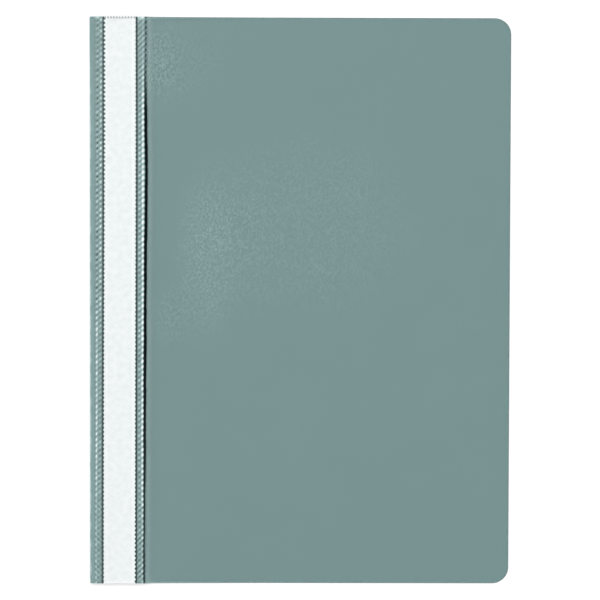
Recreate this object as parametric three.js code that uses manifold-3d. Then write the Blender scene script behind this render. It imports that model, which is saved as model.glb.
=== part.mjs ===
// A flat file: a folder of coloured film with a clear front cover, a label strip
// in a welded pocket and a two-prong fastener. All lengths are in millimetres.
// It lies closed on its back cover, with the spine at -X, the fore edge at +X
// and the top of the filed sheets at +Y.
import * as THREE from 'three';
import { mergeVertices } from 'three/addons/utils/BufferGeometryUtils.js';
import Module from 'manifold-3d';

const wasm = await Module();
wasm.setup();

// Films and the folder's outline
const folderWidth = 230;
const folderLength = 310;
const foreCornerRadius = 9;
const cornerSegments = 8;
const colourFilm = 0.25;
const clearFilm = 0.2;
const foldGap = 0.05;

// The folded strip that carries the label and the fastener
const stripWidth = 30.2;
const spinePlainWidth = 2.8;
const leftWeldWidth = 4.3;
const rightWeldWidth = 4.5;
const fastenerClearance = 0.2;

// Knurled welds: rows of small pyramids, every other row shifted by half a pitch
const knurlPitch = 3.03;
const knurlPeak = 0.16;
const knurlColumnGap = 1.9;
const leftKnurlInset = 1.15;
const rightKnurlInset = 1.15;

// Label card and the pocket over it
const labelCard = 0.25;
const labelSideGap = 0.05;
const labelEndGap = 0.1;
const pocketAir = 0.05;
const pocketRamp = 0.45;

// Toothed edges of the welds beside the label
const toothPitch = 2.34;
const toothRoot = 0.1;
const toothReach = 0.6;

// Prong strip
const prongSpacing = 80;
const prongLineFromSpine = 15.5;
const prongWidth = 7;
const prongSheet = 0.3;
const prongReach = 29;
const slitClearance = 0.15;
const prongTipSegments = 6;

// Cover bar
const barPastProngs = 6;
const barWidth = 14;
const barFloor = 0.9;
const barRimHeight = 1;
const barRimWidth = 1.4;
const barEndSegments = 10;
const bridgeFromSlot = 17;
const bridgeWidth = 5;
const bridgeThickness = 0.5;
const prongPlay = 0.1;

// The front cover's hinge and the way it settles on the back cover
const creaseGap = 0.3;
const coverSettleRun = 78;
const coverRest = 0.05;
const coverSteps = 16;
const coverStepGrowth = 1.2;

// Extra depth of a cutting shape past the face that it cuts
const overcut = 1;

// Length of the bar over its round ends
const barLength = prongSpacing + 2 * (prongReach + barPastProngs);

// Heights above the table
const barStack = barFloor + barRimHeight;
const stripUnder = colourFilm + fastenerClearance + barStack;
const stripTop = stripUnder + colourFilm;
const labelUnder = stripTop + prongSheet + pocketAir;
const pocketUnder = labelUnder + labelCard + pocketAir;

// Places across the folder
const spineX = -folderWidth / 2;
const foreX = folderWidth / 2;
const prongX = spineX + prongLineFromSpine;
const leftWeldStart = spineX + spinePlainWidth;
const leftWeldEnd = leftWeldStart + leftWeldWidth;
const rightWeldEnd = spineX + stripWidth;
const rightWeldStart = rightWeldEnd - rightWeldWidth;
const creaseX = rightWeldEnd + creaseGap / 2;
const halfLength = folderLength / 2;

function finish(color, roughness, metalness, opacity = 1) {
  return new THREE.MeshStandardMaterial({
    color, roughness, metalness, opacity, transparent: opacity < 1,
  });
}

const colouredFilm = () => finish(0x7a9493, 0.45, 0);
const clearSheet = () => finish(0xdfe9e8, 0.25, 0, 0.35);
const labelPaper = () => finish(0xf0f5f4, 0.85, 0);
const prongSteel = () => finish(0xb9bcbd, 0.35, 1);
const barPlastic = () => finish(0xe9ecec, 0.5, 0);

// Turns a closed three.js geometry into a solid that can be joined and cut.
function toSolid(geometry) {
  const plain = geometry.clone();
  plain.deleteAttribute('normal');
  plain.deleteAttribute('uv');
  const merged = mergeVertices(plain, 1e-5);
  return new wasm.Manifold(new wasm.Mesh({
    numProp: 3,
    vertProperties: new Float32Array(merged.attributes.position.array),
    triVerts: new Uint32Array(merged.index.array),
  }));
}

// Turns a solid back into a geometry.
function toGeometry(solid) {
  const mesh = solid.getMesh();
  const geometry = new THREE.BufferGeometry();
  geometry.setAttribute('position', new THREE.BufferAttribute(mesh.vertProperties, 3));
  geometry.setIndex(new THREE.BufferAttribute(mesh.triVerts, 1));
  geometry.computeVertexNormals();
  return geometry;
}

// Shape through a list of [across, up] points.
function outline(points) {
  return new THREE.Shape(points.map(([across, up]) => new THREE.Vector2(across, up)));
}

// Prism of a section in X and Z, carried along Y from one place to another.
function prismAlongY(section, fromY, toY) {
  const geometry = new THREE.ExtrudeGeometry(section, { depth: toY - fromY, bevelEnabled: false });
  geometry.rotateX(Math.PI / 2);
  geometry.translate(0, toY, 0);
  return geometry;
}

// Prism of an outline in X and Y, from one height to another.
function prismUp(plan, fromZ, toZ, curveSegments = cornerSegments) {
  const geometry = new THREE.ExtrudeGeometry(plan, {
    depth: toZ - fromZ, bevelEnabled: false, curveSegments,
  });
  geometry.translate(0, 0, fromZ);
  return geometry;
}

function boxBetween([x0, y0, z0], [x1, y1, z1]) {
  const geometry = new THREE.BoxGeometry(x1 - x0, y1 - y0, z1 - z0);
  geometry.translate((x0 + x1) / 2, (y0 + y1) / 2, (z0 + z1) / 2);
  return geometry;
}

// Plan of a cover: square at the spine side, rounded at the two fore corners.
function coverPlan(leftX) {
  const plan = new THREE.Shape();
  plan.moveTo(leftX, -halfLength);
  plan.lineTo(foreX - foreCornerRadius, -halfLength);
  plan.absarc(foreX - foreCornerRadius, foreCornerRadius - halfLength, foreCornerRadius,
    -Math.PI / 2, 0);
  plan.absarc(foreX - foreCornerRadius, halfLength - foreCornerRadius, foreCornerRadius,
    0, Math.PI / 2);
  plan.lineTo(leftX, halfLength);
  return plan;
}

// Back cover: flat film whose spine edge is cut at 45 degrees for the fold.
function backCover() {
  const section = outline([
    [spineX + foldGap, 0],
    [foreX, 0],
    [foreX, colourFilm],
    [spineX + foldGap + colourFilm, colourFilm],
  ]);
  const sheet = toSolid(prismAlongY(section, -halfLength, halfLength));
  const plan = toSolid(prismUp(coverPlan(spineX), -overcut, colourFilm + overcut));
  return toGeometry(sheet.intersect(plan));
}

// Spine wall: film on edge between two folds, cut at 45 degrees at each.
function spineWall() {
  const section = outline([
    [spineX, foldGap],
    [spineX + colourFilm, foldGap + colourFilm],
    [spineX + colourFilm, stripTop - foldGap - colourFilm],
    [spineX, stripTop - foldGap],
  ]);
  return prismAlongY(section, -halfLength, halfLength);
}

// Places along Y of the two prongs.
const prongPlaces = [-prongSpacing / 2, prongSpacing / 2];

// Strip folded over the papers, with one slit for each prong.
function frontStrip() {
  const section = outline([
    [spineX + foldGap, stripTop],
    [spineX + foldGap + colourFilm, stripUnder],
    [rightWeldEnd, stripUnder],
    [rightWeldEnd, stripTop],
  ]);
  let strip = toSolid(prismAlongY(section, -halfLength, halfLength));
  const halfSlot = prongWidth / 2 + slitClearance;
  const halfSlit = prongSheet / 2 + slitClearance;
  for (const y of prongPlaces) {
    strip = strip.subtract(toSolid(boxBetween(
      [prongX - halfSlot, y - halfSlit, stripUnder - overcut],
      [prongX + halfSlot, y + halfSlit, stripTop + overcut],
    )));
  }
  return toGeometry(strip);
}

// Places along Y of the rows of a pattern, two rows to each pitch.
function patternRows(pitch) {
  const count = 2 * Math.round(folderLength / pitch);
  return Array.from({ length: count + 1 }, (_, row) => (row / count - 0.5) * folderLength);
}

// Closed slab between a top and a bottom grid of points. Both have the same rows
// and columns, and their diagonals alternate.
function slabBetween(top, bottom) {
  const rows = top.length;
  const columns = top[0].length;
  const upper = (row, column) => row * columns + column;
  const lower = (row, column) => (rows + row) * columns + column;
  const index = [];
  const quad = (a, b, c, d) => index.push(a, b, c, a, c, d);
  for (let row = 0; row < rows - 1; row += 1) {
    for (let column = 0; column < columns - 1; column += 1) {
      const [a, b] = [upper(row, column), upper(row, column + 1)];
      const [c, d] = [upper(row + 1, column + 1), upper(row + 1, column)];
      if ((column + row) % 2 === 0) quad(a, b, c, d);
      else quad(b, c, d, a);
      quad(lower(row, column), lower(row + 1, column), lower(row + 1, column + 1), lower(row, column + 1));
    }
    const last = columns - 1;
    quad(lower(row + 1, 0), lower(row, 0), upper(row, 0), upper(row + 1, 0));
    quad(lower(row, last), lower(row + 1, last), upper(row + 1, last), upper(row, last));
  }
  for (let column = 0; column < columns - 1; column += 1) {
    const last = rows - 1;
    quad(lower(0, column), lower(0, column + 1), upper(0, column + 1), upper(0, column));
    quad(lower(last, column + 1), lower(last, column), upper(last, column), upper(last, column + 1));
  }
  const geometry = new THREE.BufferGeometry();
  geometry.setAttribute('position', new THREE.Float32BufferAttribute([...top, ...bottom].flat(2), 3));
  geometry.setIndex(index);
  return geometry;
}

// One welded band: a slab of film whose top is a field of small pyramids. Peaks
// and valleys alternate from column to column and from row to row.
function knurledBand(startX, endX, firstPeakX) {
  const columns = [startX, firstPeakX, firstPeakX + knurlColumnGap, endX];
  const places = patternRows(knurlPitch);
  const film = stripTop + clearFilm;
  const top = places.map((y, row) => columns.map((x, column) => {
    const onEdge = x === startX || x === endX || Math.abs(y) === halfLength;
    const peak = (column + row) % 2 === 0 && !onEdge;
    return [x, y, peak ? film + knurlPeak : film];
  }));
  const bottom = top.map((row) => row.map(([x, y]) => [x, y, stripTop]));
  return slabBetween(top, bottom);
}

// Raised channel of the pocket. The line where it leaves the strip is toothed, and
// its ramps follow the teeth.
function toothedChannel() {
  const rise = pocketUnder - stripTop;
  const lift = [0, 0, rise, rise, 0, 0];
  const bottom = patternRows(toothPitch).map((y, row) => {
    const foot = toothRoot + (row % 2 === 0 ? 0 : toothReach);
    const across = [
      leftWeldEnd, leftWeldEnd + foot, leftWeldEnd + foot + pocketRamp,
      rightWeldStart - foot - pocketRamp, rightWeldStart - foot, rightWeldStart,
    ];
    return across.map((x, column) => [x, y, stripTop + lift[column]]);
  });
  const top = bottom.map((row) => row.map(([x, y, z]) => [x, y, z + clearFilm]));
  return slabBetween(top, bottom);
}

// Clear film of the pocket: two knurled welds and the raised channel between them,
// open at the top and the bottom so that the label can slide in.
function labelWindow() {
  const left = toSolid(knurledBand(leftWeldStart, leftWeldEnd, leftWeldStart + leftKnurlInset));
  const rightPeak = rightWeldEnd - rightKnurlInset - knurlColumnGap;
  const right = toSolid(knurledBand(rightWeldStart, rightWeldEnd, rightPeak));
  return toGeometry(toSolid(toothedChannel()).add(left).add(right));
}

// Label card, as long as the folder less a small gap at each end.
function labelCardStrip() {
  const side = toothRoot + toothReach + pocketRamp + labelSideGap;
  return boxBetween(
    [leftWeldEnd + side, labelEndGap - halfLength, labelUnder],
    [rightWeldStart - side, halfLength - labelEndGap, labelUnder + labelCard],
  );
}

// Height of a prong where it lies flat in the bar.
const prongFlatTop = stripUnder - barFloor - prongPlay;
const prongFlatUnder = prongFlatTop - prongSheet;

// Plan of one prong's flat length: straight sides and a round tip.
function prongPlan(startY, tipY) {
  const half = prongWidth / 2;
  const way = Math.sign(tipY - startY);
  const plan = new THREE.Shape();
  plan.moveTo(prongX + way * half, startY);
  plan.absarc(prongX, tipY - way * half, half, way > 0 ? 0 : Math.PI, way > 0 ? Math.PI : 2 * Math.PI);
  plan.lineTo(prongX - way * half, startY);
  return plan;
}

// Prong strip: a base under the label, two legs through the strip and the bar,
// and two prongs folded outwards over the bar.
function prongStrip() {
  const half = prongWidth / 2;
  const reach = prongSpacing / 2 + prongSheet / 2;
  let strip = toSolid(boxBetween(
    [prongX - half, -reach, stripTop],
    [prongX + half, reach, stripTop + prongSheet],
  ));
  for (const y of prongPlaces) {
    const way = Math.sign(y);
    strip = strip.add(toSolid(boxBetween(
      [prongX - half, y - prongSheet / 2, prongFlatUnder],
      [prongX + half, y + prongSheet / 2, stripTop + prongSheet],
    )));
    const plan = prongPlan(y, y + way * prongReach);
    strip = strip.add(toSolid(prismUp(plan, prongFlatUnder, prongFlatTop, prongTipSegments)));
  }
  return toGeometry(strip);
}

// Plan of the bar: a long slot shape with half-round ends.
function barPlan(inset) {
  const half = barWidth / 2 - inset;
  const endY = (barLength - barWidth) / 2;
  const plan = new THREE.Shape();
  plan.moveTo(prongX + half, -endY);
  plan.absarc(prongX, endY, half, 0, Math.PI);
  plan.absarc(prongX, -endY, half, Math.PI, 2 * Math.PI);
  return plan;
}

// Cover bar: a shallow tray with a slot for each prong and a bridge that holds
// each prong's end down. Its floor lies against the strip.
function coverBar() {
  const top = stripUnder;
  const rimUnder = top - barFloor - barRimHeight;
  const trayZ = top - barFloor;
  let bar = toSolid(prismUp(barPlan(0), rimUnder, top, barEndSegments));
  const hollow = toSolid(prismUp(barPlan(barRimWidth), rimUnder - overcut, trayZ, barEndSegments));
  bar = bar.subtract(hollow);
  const halfTray = barWidth / 2 - barRimWidth / 2;
  const halfSlot = prongWidth / 2 + slitClearance;
  const halfSlit = prongSheet / 2 + slitClearance;
  for (const y of prongPlaces) {
    const way = Math.sign(y);
    const middle = y + way * (bridgeFromSlot + bridgeWidth / 2);
    bar = bar.add(toSolid(boxBetween(
      [prongX - halfTray, middle - bridgeWidth / 2, rimUnder],
      [prongX + halfTray, middle + bridgeWidth / 2, rimUnder + bridgeThickness],
    )));
    bar = bar.subtract(toSolid(boxBetween(
      [prongX - halfSlot, y - halfSlit, trayZ - prongPlay],
      [prongX + halfSlot, y + halfSlit, top + overcut],
    )));
  }
  return toGeometry(bar);
}

// Drop of the clear cover below the crease at a distance from it. Like a light
// beam held at one end, it falls steepest at the crease and lies flat at the far end.
function coverDrop(distance, fullDrop) {
  const left = Math.max(0, 1 - distance / coverSettleRun);
  return fullDrop * (1 - 2 * left ** 3 + left ** 4);
}

// Front cover: clear film that leaves the crease at the strip's height and comes
// down to lie on the back cover.
function frontCover() {
  const startX = creaseX + creaseGap / 2;
  const fullDrop = stripTop - colourFilm - coverRest;
  const upper = [];
  const lower = [];
  for (let step = 0; step <= coverSteps; step += 1) {
    const distance = coverSettleRun * (step / coverSteps) ** coverStepGrowth;
    const under = stripTop - coverDrop(distance, fullDrop);
    lower.push([startX + distance, under]);
    upper.push([startX + distance, under + clearFilm]);
  }
  const restUnder = colourFilm + coverRest;
  const end = [[foreX, restUnder], [foreX, restUnder + clearFilm]];
  const section = outline([...lower, ...end, ...upper.reverse()]);
  const sheet = toSolid(prismAlongY(section, -halfLength, halfLength));
  const plan = toSolid(prismUp(coverPlan(startX - overcut), 0, stripTop + overcut));
  return toGeometry(sheet.intersect(plan));
}

const folder = new THREE.Group();

function place(name, geometry, material) {
  const mesh = new THREE.Mesh(geometry, material);
  mesh.name = name;
  folder.add(mesh);
}

place('back_cover', backCover(), colouredFilm());
place('spine_wall', spineWall(), colouredFilm());
place('front_strip', frontStrip(), colouredFilm());
place('label_window', labelWindow(), clearSheet());
place('label_card', labelCardStrip(), labelPaper());
place('prong_strip', prongStrip(), prongSteel());
place('cover_bar', coverBar(), barPlastic());
place('front_cover', frontCover(), clearSheet());

export default folder;
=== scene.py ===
"""Flat file: a folder of coloured film with a clear front cover, a label strip in a
welded pocket and a prong fastener, dressed for a studio picture from straight above."""
import math
from collections import namedtuple

import bmesh
import bpy
import numpy as np
from bpy.props import FloatProperty, FloatVectorProperty, IntProperty, PointerProperty
from bpy.types import Operator, Panel, PropertyGroup
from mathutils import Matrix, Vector


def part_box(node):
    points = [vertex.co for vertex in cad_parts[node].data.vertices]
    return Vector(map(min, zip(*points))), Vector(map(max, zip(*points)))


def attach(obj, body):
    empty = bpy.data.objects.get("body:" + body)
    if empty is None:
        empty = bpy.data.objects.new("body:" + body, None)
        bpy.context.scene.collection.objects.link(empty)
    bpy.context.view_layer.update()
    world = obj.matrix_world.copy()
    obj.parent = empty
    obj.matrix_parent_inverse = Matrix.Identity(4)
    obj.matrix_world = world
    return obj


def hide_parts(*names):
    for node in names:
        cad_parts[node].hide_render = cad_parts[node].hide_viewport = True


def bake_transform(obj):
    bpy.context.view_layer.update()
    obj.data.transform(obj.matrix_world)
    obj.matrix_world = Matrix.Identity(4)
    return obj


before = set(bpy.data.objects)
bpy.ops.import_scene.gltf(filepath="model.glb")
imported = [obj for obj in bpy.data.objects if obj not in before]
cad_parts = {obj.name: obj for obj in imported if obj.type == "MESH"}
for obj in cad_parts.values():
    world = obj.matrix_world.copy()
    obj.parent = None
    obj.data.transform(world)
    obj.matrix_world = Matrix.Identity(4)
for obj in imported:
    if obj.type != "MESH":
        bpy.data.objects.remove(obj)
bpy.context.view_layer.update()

bl_info = {
    "name": "Flat file",
    "version": (1, 0, 0),
    "blender": (4, 5, 0),
    "location": "View3D > Sidebar > Flat file",
    "description": "Builds the films, label and fastener of an A4 flat file",
    "category": "Object",
}

MM = 0.001

BACK_LOW, BACK_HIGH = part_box("back_cover")
LABEL_LOW, LABEL_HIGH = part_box("label_card")
PRONG_LOW, PRONG_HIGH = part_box("prong_strip")
COVER_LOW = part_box("front_cover")[0]
STRIP_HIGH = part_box("front_strip")[1]

SPINE_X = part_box("spine_wall")[0].x
FORE_X = BACK_HIGH.x
HALF_LENGTH = BACK_HIGH.y
STRIP_TOP = STRIP_HIGH.z
STRIP_END = STRIP_HIGH.x
WINDOW_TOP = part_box("label_window")[1].z
COVER_START = COVER_LOW.x
COLOUR_FILM = BACK_HIGH.z - BACK_LOW.z
PRONG_X = (PRONG_LOW.x + PRONG_HIGH.x) / 2
PRONG_HALF = (PRONG_HIGH.x - PRONG_LOW.x) / 2

SHEET_MAP = "sheet"
SHARP_ANGLE = math.radians(40)
FILM_ROWS = 33
COVER_ROWS = 515
BEND_POINTS = 9

# Columns of dots, measured in from the start of the spine-side weld or back from the end of
# the crease-side weld, and how far the crease-side weld's dots are moved along
LEFT_FIRST = 1.2 * MM
LEFT_SECOND = 3.05 * MM
RIGHT_FIRST = 3.05 * MM
RIGHT_SECOND = 1.24 * MM
RIGHT_SHIFT = 0.9 * MM
KNURL_INSET = 1.15 * MM

# White borders of the pocket: a painted highlight beside the welds and white film at its cut end; and
# half the width of a hard step in the finish
INNER_BORDER = 1.3 * MM
END_BORDER = 0.85 * MM
HAIR = 0.02 * MM

# A column of pressed dots: its place across the folder, the width of its dots, how bright the painted
# highlights on the dots and how dark the painted shade in the gaps are, the part of a pitch that it
# is moved along, and how bright the painted highlight on the ridge under the dots is
Column = namedtuple("Column", "centre width bright dark phase ridge")


def length(name, description, default):
    """Property that holds a length."""
    return FloatProperty(
        name=name, description=description, unit="LENGTH", subtype="DISTANCE", default=default)


class FilmSettings(PropertyGroup):
    """Sizes and finishes of the coloured and the clear film."""
    colour: FloatVectorProperty(
        name="Film colour", description="Colour of the back, spine and strip",
        subtype="COLOR", size=3, min=0.0, max=1.0, default=(0.142, 0.250, 0.246))
    haze: FloatVectorProperty(
        name="Clear film haze", description="Colour of the little light the clear film scatters",
        subtype="COLOR", size=3, min=0.0, max=1.0, default=(0.45, 0.63, 0.62))
    haze_share: FloatProperty(
        name="Haze share", description="Share of each face of the clear film that lets no light by",
        min=0.0, max=1.0, default=0.06)
    clear_thickness: length(
        "Clear film", "Thickness of the clear film", 0.2 * MM)
    fold_radius: length(
        "Fold radius", "Outer radius of the two folds at the spine", 0.5 * MM)
    corner_radius: length(
        "Corner radius", "Radius of the covers' two fore corners", 9.0 * MM)
    settle_run: length(
        "Settle run", "How far from the crease the front cover meets the back", 78.0 * MM)


class WeldSettings(PropertyGroup):
    """Sizes of the two knurled welds and of the pocket between them."""
    plain_width: length(
        "Plain edge", "Bare strip between the spine and the first weld", 2.8 * MM)
    left_width: length(
        "Spine-side weld", "Width of the weld beside the spine", 4.3 * MM)
    right_width: length(
        "Crease-side weld", "Width of the weld beside the crease", 4.5 * MM)
    pitch: length(
        "Knurl pitch", "Distance between knurl dots along the weld", 3.03 * MM)
    column_gap: length(
        "Column gap", "Distance between the two columns of dots", 1.9 * MM)
    teeth: IntProperty(
        name="Teeth", description="Teeth of the serrated edges beside the label",
        min=20, max=400, default=132)
    tooth_root: length(
        "Tooth root", "From the weld to the gaps between the teeth", 0.1 * MM)
    tooth_reach: length(
        "Tooth reach", "How far the teeth stand out towards the label", 0.6 * MM)
    ramp: length(
        "Pocket ramp", "Width of the slope from the strip up over the label", 0.45 * MM)
    peak: length(
        "Knurl height", "Height of a knurl dot over the film", 0.15 * MM)
    steps_per_dot: IntProperty(
        name="Steps per dot", description="Mesh rows from one dot to the next",
        min=4, max=12, default=7)


class FastenerSettings(PropertyGroup):
    """Sizes of the prong strip and the cover bar."""
    prong_spacing: length(
        "Prong spacing", "Distance between the two prongs' legs", 80.0 * MM)
    sheet: length(
        "Prong sheet", "Thickness of the strip steel", 0.3 * MM)
    slit_clearance: length(
        "Slit clearance", "Room round a leg in its slit in the film", 0.15 * MM)
    lower_bend: length(
        "Prong bend", "Inner radius where a prong is folded outwards", 0.2 * MM)
    upper_bend: length(
        "Base bend", "Inner radius where a leg leaves the base", 0.15 * MM)
    rib_height: length(
        "Rib height", "Height of the stiffening rib along each prong", 0.08 * MM)
    bar_edge: length(
        "Bar edge", "Rounding of the cover bar's edges", 0.2 * MM)


class StageSettings(PropertyGroup):
    """Camera and light of the picture from above."""
    camera_place: FloatVectorProperty(
        name="Camera place", description="Where the camera stands over the folder",
        unit="LENGTH", subtype="XYZ", size=3, default=(-0.0046, 0.0291, 1.0))
    camera_tilt: FloatVectorProperty(
        name="Camera tilt", description="How far the camera leans from straight down",
        unit="ROTATION", subtype="EULER", size=3,
        default=(math.radians(-1.62), math.radians(-0.26), math.radians(0.14)))
    picture_width: length(
        "Picture width", "Width on the table that the picture takes in", 328.9 * MM)
    world_light: FloatProperty(
        name="Room light", description="Strength of the even light from all round",
        min=0.0, max=4.0, default=1.0)
    key_power: FloatProperty(
        name="Key lamp", description="Power of the soft lamp beyond the spine",
        unit="POWER", min=0.0, default=42.0)
    key_place: FloatVectorProperty(
        name="Lamp place", description="Where the soft lamp stands, aimed at the folder",
        unit="LENGTH", subtype="XYZ", size=3, default=(-1.4, 1.8, 3.0))
    key_size: length(
        "Lamp size", "Side of the soft lamp's square face", 1.8)
    floor_glow: FloatProperty(
        name="Floor glow", description="White that the floor adds where the camera looks",
        min=0.0, max=1.0, default=0.27)


def settings(kind):
    """The scene's settings of one kind: film, weld, fastener or stage."""
    return getattr(bpy.context.scene, "flat_file_" + kind)


# Meshes

def shell(name, outer, inner):
    """Closed sheet between two grids of points, each rows by columns by 3. The outer grid's
    faces, the inner grid's faces turned over, and one ring of side faces that joins
    the two borders."""
    rows, cols = outer.shape[:2]
    points = np.concatenate([outer.reshape(-1, 3), inner.reshape(-1, 3)])
    index = np.arange(rows * cols).reshape(rows, cols)
    quads = np.stack([index[:-1, :-1], index[:-1, 1:], index[1:, 1:], index[1:, :-1]], -1)
    quads = quads.reshape(-1, 4)
    ring = np.concatenate([index[0, :-1], index[:-1, -1], index[-1, :0:-1], index[:0:-1, 0]])
    after = np.roll(ring, -1)
    low = rows * cols
    sides = np.stack([after, ring, ring + low, after + low], -1)
    faces = np.concatenate([quads, quads[:, ::-1] + low, sides])
    return mesh_object(name, points, faces)


def mesh_object(name, points, faces):
    """Mesh object of quads from whole arrays, with its normals turned outwards."""
    mesh = bpy.data.meshes.new(name)
    mesh.vertices.add(len(points))
    mesh.vertices.foreach_set("co", np.ascontiguousarray(points, np.float32).ravel())
    mesh.loops.add(faces.size)
    mesh.loops.foreach_set("vertex_index", np.ascontiguousarray(faces, np.int32).ravel())
    mesh.polygons.add(len(faces))
    mesh.polygons.foreach_set("loop_start", np.arange(0, faces.size, 4, dtype=np.int32))
    mesh.update(calc_edges=True)
    work = bmesh.new()
    work.from_mesh(mesh)
    bmesh.ops.recalc_face_normals(work, faces=work.faces)
    work.to_mesh(mesh)
    work.free()
    return place_mesh(name, mesh)


def place_mesh(name, mesh):
    """Object of a finished mesh, shaded smooth except across its sharp edges."""
    mesh.polygons.foreach_set("use_smooth", np.ones(len(mesh.polygons), bool))
    mesh.set_sharp_from_angle(angle=SHARP_ANGLE)
    piece = bpy.data.objects.new(name, mesh)
    bpy.context.scene.collection.objects.link(piece)
    return piece


def point_values(piece, name, grid):
    """Stores one value per point of a shell, the same on its outer and inner grid."""
    layer = piece.data.attributes.new(name, "FLOAT", "POINT")
    values = np.concatenate([grid.ravel(), grid.ravel()]).astype(np.float32)
    layer.data.foreach_set("value", values)


def stations(*stretches):
    """Places along a path: each stretch is (from, to, step), and shared ends count once."""
    parts = []
    for start, end, step in stretches:
        count = max(2, int(round(abs(end - start) / step)) + 1)
        parts.append(np.linspace(start, end, count))
    joined = [parts[0]] + [part[1:] for part in parts[1:]]
    return np.concatenate(joined)


def corner_stations(radius, count):
    """Places across a rounded corner, closer together where the arc turns down: the sine of
    equal angles from 0 to a right angle, times the radius."""
    angle = np.linspace(0.0, math.pi / 2, count)
    return FORE_X - radius + radius * np.sin(angle)


def half_width(x, radius):
    """Half the cover's length at x: full length, less the drop of a quarter circle past the
    centre of the fore corners."""
    past = np.clip((x - (FORE_X - radius)) / radius, 0.0, 1.0)
    return HALF_LENGTH - radius * (1.0 - np.sqrt(1.0 - past ** 2))


def sweep(outer, inner, y_rows, radius):
    """Carries an outer and an inner section, lists of (x, z), along Y. Row v of the grid lies
    at v times half the cover's length at that x, so the rows close up at round corners."""
    def grid(section):
        reach = half_width(section[:, 0], radius)
        x = np.broadcast_to(section[:, 0], (len(y_rows), len(section)))
        z = np.broadcast_to(section[:, 1], x.shape)
        return np.stack([x, y_rows[:, None] * reach[None, :], z], -1)
    return grid(outer), grid(inner)


def fold_arc(radius, from_degrees, to_degrees, centre_z, thickness):
    """Outer and inner arcs round a spine fold: points at the outer radius and at that radius
    less the film, about a centre one outer radius in from the spine."""
    angle = np.radians(np.linspace(from_degrees, to_degrees, BEND_POINTS))
    turn = np.stack([np.cos(angle), np.sin(angle)], -1)
    centre = np.array([SPINE_X + radius, centre_z])
    return centre + radius * turn, centre + (radius - thickness) * turn


# Materials

def new_material(name):
    """Empty node material with its output and its shader."""
    material = bpy.data.materials.new(name)
    material.use_nodes = True
    tree = material.node_tree
    tree.nodes.clear()
    out = tree.nodes.new("ShaderNodeOutputMaterial")
    shader = tree.nodes.new("ShaderNodeBsdfPrincipled")
    tree.links.new(shader.outputs["BSDF"], out.inputs["Surface"])
    return material, tree, shader


def noise(tree, scale, detail=3.0, stretch=(1.0, 1.0, 1.0)):
    """Noise on Object coordinates, with its pattern stretched by a Mapping node."""
    place = tree.nodes.new("ShaderNodeTexCoord")
    turn = tree.nodes.new("ShaderNodeMapping")
    turn.inputs["Scale"].default_value = stretch
    pattern = tree.nodes.new("ShaderNodeTexNoise")
    pattern.inputs["Scale"].default_value = scale
    pattern.inputs["Detail"].default_value = detail
    tree.links.new(place.outputs["Object"], turn.inputs["Vector"])
    tree.links.new(turn.outputs["Vector"], pattern.inputs["Vector"])
    return pattern.outputs["Fac"]


def spread(tree, value, low, high, from_low=0.3, from_high=0.7):
    """Maps a pattern's middle range onto another range."""
    node = tree.nodes.new("ShaderNodeMapRange")
    node.inputs["From Min"].default_value = from_low
    node.inputs["From Max"].default_value = from_high
    node.inputs["To Min"].default_value = low
    node.inputs["To Max"].default_value = high
    tree.links.new(value, node.inputs["Value"])
    return node.outputs["Result"]


def ramp(tree, value, stops):
    """Colour ramp through (place, colour) stops."""
    node = tree.nodes.new("ShaderNodeValToRGB")
    elements = node.color_ramp.elements
    for _ in range(len(stops) - 2):
        elements.new(0.5)
    for element, (place, colour) in zip(elements, stops):
        element.position = place
        element.color = (*colour, 1.0)
    tree.links.new(value, node.inputs["Fac"])
    return node.outputs["Color"]


def bump(tree, shader, height, distance, strength=1.0):
    """Raises the surface by a pattern, up to a distance in metres."""
    node = tree.nodes.new("ShaderNodeBump")
    node.inputs["Strength"].default_value = strength
    node.inputs["Distance"].default_value = distance
    tree.links.new(height, node.inputs["Height"])
    tree.links.new(node.outputs["Normal"], shader.inputs["Normal"])


def shade(colour, factor):
    """A colour made lighter or darker."""
    return tuple(min(1.0, part * factor) for part in colour)


def attribute(tree, name):
    """Value of a mesh attribute."""
    node = tree.nodes.new("ShaderNodeAttribute")
    node.attribute_name = name
    return node.outputs["Fac"]


def math_node(tree, operation, first, second=0.0):
    """Adds, multiplies or compares a value with another value or a number, or takes its cosine."""
    node = tree.nodes.new("ShaderNodeMath")
    node.operation = operation
    tree.links.new(first, node.inputs[0])
    if isinstance(second, float):
        node.inputs[1].default_value = second
    else:
        tree.links.new(second, node.inputs[1])
    return node.outputs["Value"]


def coloured_film_material():
    """Semi-gloss film with a fine pressed grain and a faint cloudiness. Over the spine fold and the
    bare edge beside it the film carries a painted highlight, paler and mottled, given by the
    attribute pale, and the welds' knurl is pressed through it."""
    material, tree, shader = new_material("coloured_film")
    colour = settings("film").colour
    clouds = noise(tree, scale=38.0, detail=4.0)
    mottle = noise(tree, scale=460.0, detail=3.0, stretch=(1.0, 0.45, 1.0))
    uneven = spread(tree, mottle, 0.75, 1.25)
    # Painted highlight: the attribute pale lifts the film towards the ramp's upper, paler stops over
    # the fold and the bare edge.
    fold_highlight = math_node(tree, "MULTIPLY", attribute(tree, "pale"), uneven)
    place = math_node(tree, "ADD", spread(tree, clouds, 0.08, 0.11), fold_highlight)
    tint = ramp(tree, place, [
        (0.0, shade(colour, 0.94)), (0.1, tuple(colour)),
        (0.8, (colour[0] * 1.6, colour[1] * 1.4, colour[2] * 1.4)),
        (1.0, (0.46, 0.57, 0.56))])
    tree.links.new(tint, shader.inputs["Base Color"])
    grain = noise(tree, scale=2600.0, detail=2.0)
    tree.links.new(spread(tree, grain, 0.36, 0.5), shader.inputs["Roughness"])
    knurl_strength = 4.0
    pressed = math_node(tree, "MULTIPLY", knurl_pattern(tree), knurl_strength)
    bump(tree, shader, math_node(tree, "ADD", grain, pressed), distance=0.02 * MM, strength=0.5)
    return material


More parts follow.
